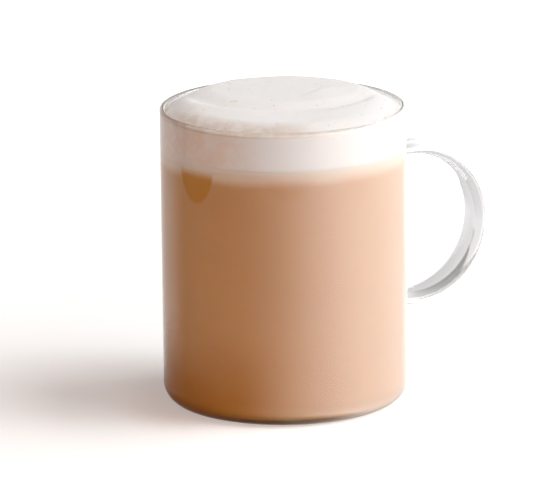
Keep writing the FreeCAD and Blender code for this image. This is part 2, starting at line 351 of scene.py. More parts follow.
def new_material(name):
    """A new material's nodes, and the place in the piece that they read."""
    material = bpy.data.materials.new(name)
    material.use_nodes = True
    material.node_tree.nodes.clear()
    nodes = Nodes(material.node_tree, material)
    return nodes, nodes.add("TexCoord").outputs["Object"]


def height_of(nodes, place):
    return nodes.dot(place, UP)


def level_part(nodes, direction):
    """A place or direction laid level and made one unit long."""
    return nodes.vector("NORMALIZE", nodes.vector("MULTIPLY", direction, LEVEL))


def on_side(nodes, place, side, low=0.0, high=1.0):
    """A mask over one of the sides of the mug, running from low to high."""
    turn, start, full = side
    towards = (cos(radians(turn)), sin(radians(turn)), 0.0)
    return nodes.step(nodes.dot(level_part(nodes, place), towards), start, full, low, high)


def new_group(name, inputs, outputs):
    """A shader node group, whose sockets are given as {name: type}."""
    tree = bpy.data.node_groups.new(name, "ShaderNodeTree")
    for in_out, sockets in (("INPUT", inputs), ("OUTPUT", outputs)):
        for socket_name, kind in sockets.items():
            tree.interface.new_socket(socket_name, in_out=in_out, socket_type="NodeSocket" + kind)
    add = tree.nodes.new
    return Nodes(tree), add("NodeGroupInput").outputs, add("NodeGroupOutput").inputs


def use_group(nodes, name, values):
    group = nodes.add("Group", node_tree=bpy.data.node_groups[name])
    return nodes.feed(group, values).outputs


def level_blend_group():
    """Carries a lower colour over to an upper one through a height, with an uneven edge."""
    inputs = {"Vector": "Vector", "Lower": "Color", "Upper": "Color",
              "Height": "Float", "Width": "Float", "Waver": "Float"}
    nodes, given, result = new_group("Level blend", inputs, {"Color": "Color"})
    wander = nodes.noise(given["Vector"], scale=90.0, detail=3.0, roughness=0.55)
    lift = nodes.times(nodes.math("SUBTRACT", wander, 0.5), given["Waver"])
    lifted = nodes.math("ADD", height_of(nodes, given["Vector"]), lift)
    above = nodes.math("DIVIDE", nodes.math("SUBTRACT", lifted, given["Height"]), given["Width"])
    mask = nodes.step(above, -0.5, 0.5)
    nodes.link(nodes.mix(mask, given["Lower"], given["Upper"]), result["Color"])


# How fine the small bubbles and the patches of bubbles are beside the bubbles' own scale, and
# the brightness of the patches' noise at which all bubbles are present.
SMALL_BUBBLES, BUBBLE_PATCHES, MOST_FOAM = 2.3, 0.08, 0.75


def bubble_group():
    """Fine bubbles packed together: a height for relief, and a mask of their dark outlines."""
    inputs = {"Vector": "Vector", "Scale": "Float", "Share": "Float"}
    nodes, given, result = new_group("Fine bubbles", inputs, {"Height": "Float", "Outline": "Float"})
    place, scale = given["Vector"], given["Scale"]
    near = nodes.cells(place, scale)
    near_small = nodes.cells(place, nodes.times(scale, SMALL_BUBBLES))
    domes = nodes.step(near, 0.0, 0.55, 1.0, 0.0)
    small_domes = nodes.step(near_small, 0.0, 0.6, 0.45, 0.0)
    patches = nodes.noise(place, nodes.times(scale, BUBBLE_PATCHES))
    present = nodes.step(patches, nodes.math("SUBTRACT", MOST_FOAM, given["Share"]), MOST_FOAM)
    nodes.link(nodes.times(nodes.math("ADD", domes, small_domes), present), result["Height"])
    ring = nodes.times(nodes.step(near, 0.34, 0.46), nodes.step(near, 0.62, 0.5))
    nodes.link(nodes.times(ring, present), result["Outline"])


def drift_group():
    """Slow drifting clouds of lighter and darker milk, streaked level by the swirl of the cup."""
    inputs = {"Vector": "Vector", "Color": "Color", "Amount": "Float"}
    nodes, given, result = new_group("Milk drift", inputs, {"Color": "Color"})
    flattened = nodes.vector("MULTIPLY", given["Vector"], (1.0, 1.0, 1.7))
    clouds = nodes.noise(flattened, scale=38.0, detail=4.0, roughness=0.55)
    bright = nodes.math("ADD", 1.0, nodes.times(nodes.math("SUBTRACT", clouds, 0.5), given["Amount"]))
    grey = nodes.feed(nodes.add("CombineColor"), {0: bright, 1: bright, 2: bright})
    nodes.link(nodes.mix(1.0, given["Color"], grey.outputs[0], "MULTIPLY"), result["Color"])


# ---------- the mug's glass


class DRINK_OT_glass(bpy.types.Operator):
    """Gives the CAD mug its clear glass"""

    bl_idname = "drink.glass"
    bl_label = "Glass mug"

    def execute(self, context):
        settings = context.scene.drink_glass
        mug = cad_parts["glass_mug"]
        mug.data.materials.clear()
        mug.data.materials.append(glass_material(settings))
        return {"FINISHED"}


# A place is on the round wall up to the first distance from it, and off it past the second. The
# heel ends between the two heights.
OFF_WALL = (0.05 * MM, 0.09 * MM)
ABOVE_HEEL = (7.7 * MM, 8.7 * MM)


def round_normal(nodes, place):
    """The exact normal of the round wall and its rim; on the heel and the handle, the mesh's own."""
    half_wall = (OUTER_RADIUS - INNER_RADIUS) / 2
    height = height_of(nodes, place)
    core_level = nodes.vector("MULTIPLY", level_part(nodes, place), (INNER_RADIUS + half_wall,) * 3)
    core_height = nodes.math("MINIMUM", height, RIM_HEIGHT - half_wall)
    core = nodes.vector("ADD", core_level, nodes.vector("MULTIPLY", core_height, UP))
    outward = nodes.vector("SUBTRACT", place, core)
    error = nodes.math("ABSOLUTE", nodes.math("SUBTRACT", nodes.length(outward), half_wall))
    known = nodes.times(nodes.step(error, *OFF_WALL, 1.0, 0.0), nodes.step(height, *ABOVE_HEEL))
    own = nodes.add("NewGeometry").outputs["Normal"]
    side = nodes.math("SIGN", nodes.dot(own, outward))
    exact = nodes.vector("MULTIPLY", nodes.vector("NORMALIZE", outward), side)
    blend = nodes.add("Mix", data_type="VECTOR")
    nodes.feed(blend, {0: known, 4: own, 5: exact})
    return nodes.vector("NORMALIZE", blend.outputs[1])


def unbent_rays(nodes):
    """1 for lamps' and scattered light, and for mirrored rays that have not entered glass."""
    path = nodes.add("LightPath").outputs
    outside = nodes.math("LESS_THAN", path["Transmission Depth"], 0.5)
    mirrored = nodes.times(path["Is Glossy Ray"], outside)
    soft = nodes.math("MAXIMUM", path["Is Shadow Ray"], path["Is Diffuse Ray"])
    return nodes.math("MAXIMUM", soft, mirrored)


def glass_material(settings):
    """Clear glass with faint smears and a slow ripple, which some rays pass unbent."""
    nodes, place = new_material("clear_glass")
    upright = nodes.vector("MULTIPLY", place, (1.0, 1.0, 0.35))
    smears = nodes.noise(upright, scale=55.0, detail=5.0, roughness=0.6)
    more_upright = nodes.vector("MULTIPLY", place, (1.0, 1.0, 0.25))
    ripple = nodes.noise(more_upright, scale=60.0, detail=1.0, roughness=0.4)
    glass = nodes.principled({
        "Base Color": settings.tint,
        "Transmission Weight": 1.0,
        "IOR": settings.ior,
        "Roughness": nodes.step(smears, 0.52, 0.8, 0.0, settings.smear),
        "Normal": nodes.bump(ripple, settings.ripple, 0.35, Normal=round_normal(nodes, place)),
    })
    clear = nodes.feed(nodes.add("BsdfTransparent"), {"Color": settings.unbent})
    return nodes.surface(nodes.mix_shaders(unbent_rays(nodes), glass, clear))


# ---------- the coffee and the beige layer


class DRINK_OT_coffee(bpy.types.Operator):
    """Models the coffee and the beige layer, which reach just into the glass"""

    bl_idname = "drink.coffee"
    bl_label = "Coffee"

    def execute(self, context):
        settings = context.scene.drink_coffee
        coffee = filled_column("coffee_fill", COFFEE_LOW.z - settings.overlap, COFFEE_HIGH.z, settings)
        round_bottom(coffee, settings.heel)
        settle(coffee)
        finish_piece(coffee, coffee_material(settings), "milky_coffee", "coffee")
        beige = filled_column("beige_fill", BEIGE_LOW.z, BEIGE_HIGH.z, settings)
        settle(beige)
        finish_piece(beige, beige_material(settings), "beige_milk", "beige_layer")
        return {"FINISHED"}


COLUMN_SIDES, HEEL_SEGMENTS = 192, 20


def filled_column(name, bottom, top, settings):
    """A round column that reaches a little into the glass."""
    select_nothing()
    bpy.ops.mesh.primitive_cylinder_add(
        vertices=COLUMN_SIDES,
        radius=INNER_RADIUS + settings.overlap,
        depth=top - bottom,
        location=(0, 0, (top + bottom) / 2),
    )
    return named(name)


def round_bottom(piece, radius):
    """Rounds the lower edge, so that the coffee lies in the cup's rounded heel."""
    lowest = min(vertex.co.z for vertex in piece.data.vertices)
    select_edges(piece, lambda place: place.z < lowest + TOUCH)
    bpy.ops.mesh.bevel(
        offset=radius, offset_type="OFFSET", segments=HEEL_SEGMENTS, profile=0.5, affect="EDGES"
    )


# How far above the coffee a tongue's middle lies, in mm, and where its edge starts and is full,
# as shares of its size.
TONGUE_ROOT = 2
TONGUE_EDGE = (1.06, 0.94)


def tongue_mask(nodes, place):
    """How much dark coffee is at a place: rounded tongues that hang from the beige layer."""
    total = 0.0
    for turn, half_width, depth, strength in TONGUES:
        x, y = cos(radians(turn)) * INNER_RADIUS, sin(radians(turn)) * INNER_RADIUS
        middle = (x, y, COFFEE_HIGH.z + TONGUE_ROOT * MM)
        span = (half_width * MM, half_width * MM, (depth + TONGUE_ROOT) * MM)
        away = nodes.vector("DIVIDE", nodes.vector("SUBTRACT", place, middle), span)
        mask = nodes.step(nodes.length(away), *TONGUE_EDGE, 0.0, strength)
        total = nodes.math("MAXIMUM", total, mask)
    return total


# Heights at which the painted shade low on the coffee starts to thin out and is gone, and over
# which the tongues fade into the beige layer.
LOW_SHADE_HEIGHTS = (6 * MM, 36 * MM)
TONGUE_HEIGHTS = (COFFEE_HIGH.z + 1.0 * MM, COFFEE_HIGH.z - 3.0 * MM)


def coffee_colour(nodes, place, settings):
    """Drifting milk, painted shade low on the shaded side, a paler top, and dark tongues over it."""
    drift = use_group(nodes, "Milk drift", {"Vector": place, "Color": settings.coffee, "Amount": 0.10})
    height = height_of(nodes, place)
    # Painted shade: the coffee darkens low on its shaded side.
    shade_painted = nodes.times(nodes.step(height, *LOW_SHADE_HEIGHTS, 1.0, 0.0),
                          on_side(nodes, place, LOW_SHADE_SIDE, 0.08, 1.0))
    rising = use_group(nodes, "Level blend", {
        "Vector": place, "Lower": nodes.mix(shade_painted, drift["Color"], settings.painted_low_shade), "Upper": settings.beige,
        "Height": COFFEE_HIGH.z - 2.0 * MM, "Width": 4.5 * MM, "Waver": 1.2 * MM,
    })
    tongues = nodes.times(tongue_mask(nodes, place), nodes.step(height, *TONGUE_HEIGHTS))
    return nodes.mix(tongues, rising["Color"], settings.dark_coffee)


def coffee_material(settings):
    """Milky coffee: light wanders a little way into it, and only the glass over it shines."""
    nodes, place = new_material("milky_coffee")
    swirl = nodes.noise(nodes.vector("MULTIPLY", place, (1.0, 1.0, 2.0)), scale=45.0, detail=3.0)
    return nodes.surface(nodes.principled({
        "Base Color": coffee_colour(nodes, place, settings),
        "Roughness": nodes.step(swirl, 0.3, 0.7, 0.22, 0.34),
        "IOR": 1.34,
        "Subsurface Weight": 1.0,
        "Subsurface Radius": (1.0, 0.45, 0.2),
        "Subsurface Scale": settings.depth,
        "Specular IOR Level": 0.0,
    }))


def beige_material(settings):
    """The mixed layer: beige, paler towards the foam, with fine bubbles."""
    nodes, place = new_material("beige_milk")
    rising = use_group(nodes, "Level blend", {
        "Vector": place, "Lower": settings.beige, "Upper": settings.beige_top,
        "Height": BEIGE_HIGH.z - 0.7 * MM, "Width": 2.2 * MM, "Waver": 0.8 * MM,
    })
    bubbles = use_group(nodes, "Fine bubbles", {"Vector": place, "Scale": 1500.0, "Share": 0.4})
    outlines = nodes.times(bubbles["Outline"], 0.12)
    return nodes.surface(nodes.principled({
        "Base Color": nodes.mix(outlines, rising["Color"], settings.outline),
        "Roughness": nodes.step(bubbles["Height"], 0.0, 1.0, 0.45, 0.3),
        "Subsurface Weight": 1.0,
        "Subsurface Radius": (1.0, 0.6, 0.35),
        "Subsurface Scale": 0.5 * MM,
        "Specular IOR Level": 0.0,
        "Normal": nodes.bump(bubbles["Height"], 0.03 * MM, 0.4),
    }))


# ---------- the milk foam


class DRINK_OT_foam(bpy.types.Operator):
    """Models the milk foam with its shoulder, heap, spoon strokes and burst bubbles"""

    bl_idname = "drink.foam"
    bl_label = "Milk foam"

    def execute(self, context):
        settings = context.scene.drink_foam
        overlap = context.scene.drink_coffee.overlap
        foam = foam_disc(INNER_RADIUS + overlap)
        drop_sides(foam, FOAM_LOW.z)
        raise_top(foam, settings)
        settle(foam, 75.0)
        finish_piece(foam, foam_material(settings), "white_foam", "milk_foam")
        return {"FINISHED"}


GRID_CELLS = 230


def foam_disc(radius):
    """A square grid drawn in to a disc, so that its faces stay even from middle to edge."""
    select_nothing()
    bpy.ops.mesh.primitive_grid_add(
        x_subdivisions=GRID_CELLS, y_subdivisions=GRID_CELLS, size=2, location=(0, 0, 0)
    )
    disc = named("foam_top")
    places = points_of(disc.data)
    across, deep = places[:, 0].copy(), places[:, 1].copy()
    places[:, 0] = across * np.sqrt(1 - deep**2 / 2) * radius
    places[:, 1] = deep * np.sqrt(1 - across**2 / 2) * radius
    places[:, 2] = RIM_HEIGHT
    disc.data.vertices.foreach_set("co", places.ravel())
    disc.data.update()
    return disc


SIDE_RINGS = 14


def drop_sides(disc, bottom):
    """Turns the disc into a column by dropping its edge to the beige layer and closing it."""
    bpy.ops.object.mode_set(mode="EDIT")
    bpy.ops.mesh.select_all(action="SELECT")
    bpy.ops.mesh.region_to_loop()
    for _ in range(SIDE_RINGS):
        bpy.ops.mesh.extrude_region_move(
            TRANSFORM_OT_translate={"value": (0, 0, -(RIM_HEIGHT - bottom) / SIDE_RINGS)}
        )
    bpy.ops.mesh.edge_face_add()
    bpy.ops.mesh.select_all(action="SELECT")
    bpy.ops.mesh.normals_make_consistent(inside=False)
    bpy.ops.object.mode_set(mode="OBJECT")


def smooth_step(share_of_way):
    """0 at the start of the way and 1 at its end, level at both."""
    kept = np.clip(share_of_way, 0.0, 1.0)
    return kept * kept * (3 - 2 * kept)


def stroke_heights(stroke, across, deep):
    """The ridge that one stroke leaves, in mm, fading out towards the stroke's ends."""
    x, y, radius, middle, half_sweep, height, inside, outside = stroke
    turn = np.degrees(np.arctan2(deep - y, across - x))
    off_middle = np.abs((turn - middle + 180) % 360 - 180)
    along = np.where(off_middle < half_sweep, np.cos(np.clip(off_middle / half_sweep, 0, 1) * pi / 2) ** 2, 0)
    from_crest = np.hypot(across - x, deep - y) - radius
    width = np.where(from_crest < 0, inside, outside)
    return height * along * np.exp(-((from_crest / width) ** 2))


def foam_heights(places, settings):
    """The foam's height in metres over points in the mug's frame."""
    turn = settings.pattern_turn
    x, y = places[:, 0], places[:, 1]
    across = (x * cos(turn) - y * sin(turn)) / MM
    deep = (x * sin(turn) + y * cos(turn)) / MM
    from_wall = INNER_RADIUS - np.hypot(x, y)
    shoulder = 1 - (1 - np.minimum(1.0, from_wall / settings.shoulder_width)) ** 2
    middle_x, middle_y, half_width, half_depth = HEAP
    from_middle = np.hypot((across - middle_x) / half_width, (deep - middle_y) / half_depth)
    inwards = (1 - from_middle) * half_depth * MM
    heap = settings.heap_rise * smooth_step(0.5 + inwards / settings.heap_roll)
    strokes = sum(stroke_heights(stroke, across, deep) for stroke in STROKES) * MM
    relief = settings.relief * (heap + strokes) * smooth_step(from_wall / WALL_FADE)
    climb = settings.climb * np.exp(-((from_wall / CLIMB_WIDTH) ** 2))
    return RIM_HEIGHT - settings.edge_drop + settings.shoulder_rise * shoulder + relief + climb


# The lumps' and the grain's sizes in mm, and the grain's height beside the lumps'.
LUMP_SIZE, GRAIN_SIZE, GRAIN_SHARE = 9.0, 1.6, 0.22


def lump_heights(places):
    """Soft lumps and finer grain, from about -1 to 1."""
    found = np.empty(len(places))
    for index, place in enumerate(places):
        point = Vector(place) / MM
        soft = noise.fractal(point / LUMP_SIZE, 1.0, 2.0, 3)
        grain = noise.fractal(point / GRAIN_SIZE + Vector((7.0, 3.0, 5.0)), 0.9, 2.1, 2)
        found[index] = soft + GRAIN_SHARE * grain
    return found


# Burst bubbles: their number, the share of the radius that they keep to, their least size and
# how much larger they get.
PORE_COUNT, PORE_REACH = 130, 0.985
PORE_LEAST, PORE_MORE = 0.30 * MM, 0.60 * MM


def pore_depths(places, radius):
    """Round pits with a faint lip, one for each burst bubble, in mm."""
    chance = np.random.default_rng(11)
    found = np.zeros(len(places))
    for _ in range(PORE_COUNT):
        turn = chance.uniform(0, 2 * pi)
        out = radius * sqrt(chance.uniform(0, 1)) * PORE_REACH
        size = PORE_LEAST + PORE_MORE * chance.power(0.2)
        from_middle = np.abs(places[:, :2] - (out * cos(turn), out * sin(turn)))
        near = np.flatnonzero(from_middle.max(axis=1) < 1.6 * size)
        away = np.hypot(from_middle[near, 0], from_middle[near, 1]) / size
        pit = -np.sqrt(np.clip(1 - away**2, 0, 1)) * size / MM
        lip = 0.15 * np.exp(-(((away - 1.1) / 0.22) ** 2)) * size / MM
        found[near] = np.minimum(found[near], pit) + lip
    return found


# Near the glass the foam is calm: no pits, and only this share of the lumps.
CALM_WIDTH, CALM_LUMPS = 2.5 * MM, 0.35


def raise_top(foam, settings):
    """Lifts the top to its heights, and draws the sides down evenly below it."""
    places = points_of(foam.data)
    level = foam_heights(places, settings)
    top = places[:, 2] > RIM_HEIGHT - TOUCH
    lumps = lump_heights(places[top])
    pores = pore_depths(places[top], INNER_RADIUS)
    full = (places[:, 2] - FOAM_LOW.z) / (RIM_HEIGHT - FOAM_LOW.z)
    places[:, 2] = FOAM_LOW.z + full * (level - FOAM_LOW.z)
    from_wall = INNER_RADIUS - np.hypot(places[top, 0], places[top, 1])
    lively = smooth_step(from_wall / CALM_WIDTH)
    share_of_lumps = CALM_LUMPS + (1 - CALM_LUMPS) * lively
    places[top, 2] += share_of_lumps * settings.lumps * lumps + lively * settings.pores * pores
    foam.data.vertices.foreach_set("co", places.ravel())
    foam.data.update()


# Radii, and heights of the foam's edge, at which its painted side shade and run-over coffee start and are
# full.
SHADE_PAINTED_RADII = (37.0 * MM, 37.9 * MM)
SPLASH_RADII = (27 * MM, 36 * MM)
RING_RADII = (36.4 * MM, 37.5 * MM)
EDGE_HEIGHTS = (RIM_HEIGHT - 2.3 * MM, RIM_HEIGHT - 1.6 * MM)


def stained_and_shade_painted(nodes, place, plain, settings):
    """Painted warm shade at the glass on the foam's shaded side, and coffee run over the top's edge."""
    radius = nodes.length(nodes.vector("MULTIPLY", place, LEVEL))
    patches = nodes.step(nodes.noise(place, scale=260.0, detail=4.0, roughness=0.6), 0.35, 0.62, 0.55, 1.0)
    # Painted warm shade: the foam's side at the glass is browner on its shaded side.
    side = nodes.times(on_side(nodes, place, SHADE_PAINTED_FOAM_SIDE), nodes.step(radius, *SHADE_PAINTED_RADII))
    with_painted_shade = nodes.mix(nodes.times(side, patches), plain, settings.painted_side_shade)
    front = nodes.times(on_side(nodes, place, SPLASHED_SIDE), nodes.step(radius, *SPLASH_RADII, 0.0, 0.85))
    ring = nodes.times(nodes.step(radius, *RING_RADII), on_side(nodes, place, RING_SIDE, 0.3, 0.9))
    on_top = nodes.times(nodes.step(height_of(nodes, place), *EDGE_HEIGHTS), patches)
    splashed = nodes.times(nodes.math("MAXIMUM", front, ring), on_top)
    return nodes.mix(splashed, with_painted_shade, settings.crema)


def foam_material(settings):
    """White foam of fine bubbles, creamier near the beige layer, with coffee run over its edge and painted
    warm shade at the glass.
    """
    nodes, place = new_material("white_foam")
    rising = use_group(nodes, "Level blend", {
        "Vector": place, "Lower": settings.cream, "Upper": settings.white,
        "Height": FOAM_LOW.z + 0.8 * MM, "Width": 2.4 * MM, "Waver": 0.8 * MM,
    })
    bubbles = use_group(nodes, "Fine bubbles", {"Vector": place, "Scale": 1700.0, "Share": 0.55})
    outlines = nodes.times(bubbles["Outline"], 0.10)
    speckled = nodes.mix(outlines, rising["Color"], settings.outline)
    grain = nodes.noise(place, scale=4200.0)
    relief = nodes.bump(bubbles["Height"], 0.05 * MM, 0.5)
    return nodes.surface(nodes.principled({
        "Base Color": stained_and_shade_painted(nodes, place, speckled, settings),
        "Roughness": nodes.step(grain, 0.3, 0.7, 0.42, 0.62),
        "IOR": 1.34,
        "Subsurface Weight": 1.0,
        "Subsurface Radius": (1.0, 0.85, 0.7),
        "Subsurface Scale": 0.7 * MM,
        "Specular IOR Level": 0.35,
        "Normal": nodes.bump(grain, 0.012 * MM, 0.5, Normal=relief),
    }))


# ---------- loose bubbles


class DRINK_OT_bubbles(bpy.types.Operator):
    """Adds the bubbles that stand on the foam and those that press against the glass"""

    bl_idname = "drink.bubbles"
    bl_label = "Bubbles"

    def execute(self, context):
        settings = context.scene.drink_foam
        top = scattered("foam_bubbles", top_places(settings))
        finish_piece(top, bubble_material(settings), "white_foam")
        side = scattered("glass_bubbles", side_places(context.scene.drink_coffee))
        finish_piece(side, window_material(settings), "white_foam")
        return {"FINISHED"}


# Bubbles on the foam and against the glass: their number, their least radius and how much
# larger they get, in mm, their squash, and how far they are sunk, as a share of the radius.
TOP_COUNT, TOP_LEAST, TOP_MORE = 150, 0.16, 0.42
TOP_SQUASH, TOP_SUNK = Vector((1, 1, 0.38)), 0.12
SIDE_COUNT, SIDE_LEAST, SIDE_MORE = 520, 0.14, 0.42
SIDE_SQUASH, SIDE_SUNK = Vector((0.75, 0.75, 1.0)), 0.72
# How far a bubble presses into the glass past the drink.
SIDE_PRESS = 0.012 * MM


def top_places(settings):
    """Where small domes stand on the foam: place, radius and squash for each."""
    chance = np.random.default_rng(23)
    turn = chance.uniform(0, 2 * pi, TOP_COUNT)
    out = (INNER_RADIUS - 1.2 * MM) * np.sqrt(chance.uniform(0, 1, TOP_COUNT))
    places = np.stack([out * np.cos(turn), out * np.sin(turn), 0 * out], axis=1)
    size = (TOP_LEAST + TOP_MORE * chance.power(0.35, TOP_COUNT)) * MM
    places[:, 2] = foam_heights(places, settings) - TOP_SUNK * size
    return [(Vector(place), radius, TOP_SQUASH) for place, radius in zip(places, size)]


def side_places(drink):
    """Where bubbles press flat against the glass, most of them in the foam's upper half."""
    chance = np.random.default_rng(31)
    lowest, highest = FOAM_LOW.z - 0.6 * MM, RIM_HEIGHT - 3.6 * MM
    found = []
    for _ in range(SIDE_COUNT):
        turn = chance.uniform(0, 2 * pi)
        height = lowest + (highest - lowest) * chance.uniform(0, 1) ** 0.75
        radius = (SIDE_LEAST + SIDE_MORE * chance.power(0.3)) * MM
        out = INNER_RADIUS + drink.overlap - SIDE_SUNK * radius + SIDE_PRESS
        found.append((Vector((out * cos(turn), out * sin(turn), height)), radius, SIDE_SQUASH))
    return found


def scattered(name, places):
    """One small ball copied to every place, each copy with its own size."""
    select_nothing()
    bpy.ops.mesh.primitive_ico_sphere_add(subdivisions=2, radius=1.0, location=(0, 0, 0))
    ball = named(name)
    corners = points_of(ball.data)
    faces = np.array([face.vertices[:] for face in ball.data.polygons])
    all_corners = [corners * radius * np.array(squash) + np.array(place) for place, radius, squash in places]
    all_faces = [faces + index * len(corners) for index in range(len(places))]
    mesh = bpy.data.meshes.new(name)
    mesh.from_pydata(np.concatenate(all_corners).tolist(), [], np.concatenate(all_faces).tolist())
    ball.data = mesh
    ball.data.shade_smooth()
    return ball


def bubble_material(settings):
    """A bubble's skin on the foam: milky and soft, in two whites."""
    nodes, place = new_material("bubble_skin")
    film = nodes.noise(place, scale=900.0)
    return nodes.surface(nodes.principled({
        "Base Color": nodes.mix(nodes.step(film, 0.3, 0.7), settings.white, settings.skin),
        "Roughness": nodes.step(film, 0.3, 0.7, 0.12, 0.24),
        "IOR": 1.34,
        "Specular IOR Level": 0.1,
        "Subsurface Weight": 0.9,
        "Subsurface Radius": (1.0, 0.85, 0.7),
        "Subsurface Scale": 0.7 * MM,
    }))


def window_material(settings):
    """A bubble that presses against the glass: a small window, paler or duller than the foam."""
    nodes, place = new_material("bubble_window")
    film = nodes.noise(place, scale=700.0)
    return nodes.surface(nodes.principled({
        "Base Color": nodes.mix(nodes.step(film, 0.35, 0.65), settings.dull_window, settings.window),
        "Roughness": nodes.step(film, 0.3, 0.7, 0.2, 0.4),
        "Specular IOR Level": 0.0,
        "Subsurface Weight": 0.5,
        "Subsurface Radius": (1.0, 0.8, 0.6),
        "Subsurface Scale": 0.5 * MM,
    }))


# ---------- the stage

# Each lamp's turn to the right from the camera's side, and its height, in degrees.
HIGH_LAMP, SIDE_LAMP = (92, 60), (70, 50)
LAMP_DISTANCE, LAMP_SIZE = 1.0, 0.48


class DRINK_OT_stage(bpy.types.Operator):
    """Sets the table, the lamps, the surroundings and the camera"""

    bl_idname = "drink.stage"
    bl_label = "Stage"

    def execute(self, context):
        settings = context.scene.drink_stage
        add_table(settings)
        add_lamp("high_lamp", from_camera(settings, *HIGH_LAMP), settings.high_key, settings)
        add_lamp("side_lamp", from_camera(settings, *SIDE_LAMP), settings.side_key, settings)
        add_surroundings(context.scene, settings)
        add_camera(context.scene, settings)
        context.scene.view_settings.view_transform = "Standard"
        return {"FINISHED"}


def stage_axes(settings):
    """The directions on the table: to the picture's right, and away from the camera."""
    turn = settings.turn
    return Vector((cos(turn), -sin(turn), 0)), Vector((sin(turn), cos(turn), 0))


SENSOR_WIDTH = 36.0
FRAME_SHIFT = (-0.0168, 0.0059)
CLIP_RANGE = (0.05, 50.0)


def add_camera(scene, settings):
    right, away = stage_axes(settings)
    target = Vector((0, 0, RIM_HEIGHT / 2))
    ahead = away * cos(settings.elevation) - Vector((0, 0, sin(settings.elevation)))
    above = right.cross(ahead)
    tilted_right = right * cos(settings.roll) + above * sin(settings.roll)
    tilted_above = above * cos(settings.roll) - right * sin(settings.roll)
    lens = bpy.data.cameras.new("camera")
    lens.lens = settings.lens
    lens.sensor_width = SENSOR_WIDTH
    lens.shift_x, lens.shift_y = FRAME_SHIFT
    lens.clip_start, lens.clip_end = CLIP_RANGE
    camera = bpy.data.objects.new("camera", lens)
    scene.collection.objects.link(camera)
    axes = Matrix((tilted_right, tilted_above, -ahead)).transposed()
    camera.matrix_world = Matrix.Translation(target - ahead * settings.distance) @ axes.to_4x4()
    scene.camera = camera


def from_camera(settings, turn, height):
    """A direction from the mug, turned to the right from the camera's side, and raised."""
    right, away = stage_axes(settings)
    level = right * sin(radians(turn)) - away * cos(radians(turn))
    return level * cos(radians(height)) + Vector((0, 0, sin(radians(height))))


def add_lamp(name, towards, power, settings):
    """A large soft lamp. The glass mirrors the painted softbox instead of the lamp itself."""
    lamp = bpy.data.lights.new(name, "AREA")
    lamp.shape = "SQUARE"
    lamp.size = LAMP_SIZE
    lamp.energy = power
    lamp.color = settings.lamp_colour
    holder = bpy.data.objects.new(name, lamp)
    bpy.context.scene.collection.objects.link(holder)
    holder.location = towards * LAMP_DISTANCE
    holder.rotation_euler = towards.to_track_quat("Z", "Y").to_euler()
    holder.visible_glossy = False


# Turns and heights of the warm light in degrees, and how strong it is on the left.
FRONT_LIGHT, LEFT_LIGHT, LEFT_SHARE = (0, 16.7), (-90, 16.7), 0.25


def light_source(nodes, kind, colour, strength):
    return nodes.feed(nodes.add(kind), {"Color": colour, "Strength": strength})


def lobe(nodes, direction, towards):
    """Light from a direction and all round it, fading to none at the side."""
    nearness = nodes.dot(direction, tuple(towards))
    return nodes.math("POWER", nodes.math("MAXIMUM", nearness, 0.0), 2.0)


def warm_light(nodes, direction, settings):
    """Light for soft surfaces: broad from the front, and a little from the left."""
    front = lobe(nodes, direction, from_camera(settings, *FRONT_LIGHT))
    left = lobe(nodes, direction, from_camera(settings, *LEFT_LIGHT))
    return nodes.math("ADD", nodes.times(front, settings.fill), nodes.times(left, settings.fill * LEFT_SHARE))


# The studio that the glass mirrors. BOX_TURN and PAPER_TURN are degrees to the right from the
# camera's side. The pairs are where a part starts and is full: as the cosine of the angle from
# its turn or from the picture's right, or as the upward share of a direction.
BOX_TURN, BOX_POWER, BOX_TOP = 74, 2.9, (0.50, 0.85)
PAPER_TURN, PAPER_LIGHT = -165, 0.85
PAPER_SIDES, PAPER_FOOT, PAPER_TOP = (0.50, 0.85), (-0.42, -0.27), (0.17, 0.26)
TABLE_LIGHT, TABLE_SIDES, TABLE_TOP = 0.60, (-0.4, 0.4), (-0.72, -0.98)


def towards_turn(nodes, level, settings, turn):
    return nodes.dot(level, tuple(from_camera(settings, turn, 0)))


def studio_light(nodes, direction, softbox, room, settings):
    """What the glass mirrors: a softbox on the right, white paper behind, table and dark room."""
    level = level_part(nodes, direction)
    upward = height_of(nodes, direction)
    half_turned = nodes.times(nodes.math("ADD", towards_turn(nodes, level, settings, BOX_TURN), 1.0), 0.5)
    box = nodes.times(nodes.math("POWER", half_turned, BOX_POWER), nodes.step(upward, *BOX_TOP, 1.0, 0.1))
    paper_height = nodes.times(nodes.step(upward, *PAPER_FOOT), nodes.step(upward, *PAPER_TOP, 1.0, 0.15))
    paper_side = nodes.step(towards_turn(nodes, level, settings, PAPER_TURN), *PAPER_SIDES)
    in_paper = nodes.times(paper_side, paper_height)
    paper = nodes.step(in_paper, 0.0, 1.0, room, PAPER_LIGHT, "LINEAR")
    above = nodes.math("ADD", nodes.times(box, softbox), paper)
    sideways = nodes.dot(level, tuple(stage_axes(settings)[0]))
    table = nodes.step(sideways, *TABLE_SIDES, room, TABLE_LIGHT)
    in_table = nodes.step(upward, *TABLE_TOP)
    kept = nodes.times(above, nodes.math("SUBTRACT", 1.0, in_table))
    return nodes.math("ADD", kept, nodes.times(table, in_table))


# How bright the softbox is through the glass, as a share of how bright the glass mirrors it.
BOX_THROUGH = 0.12


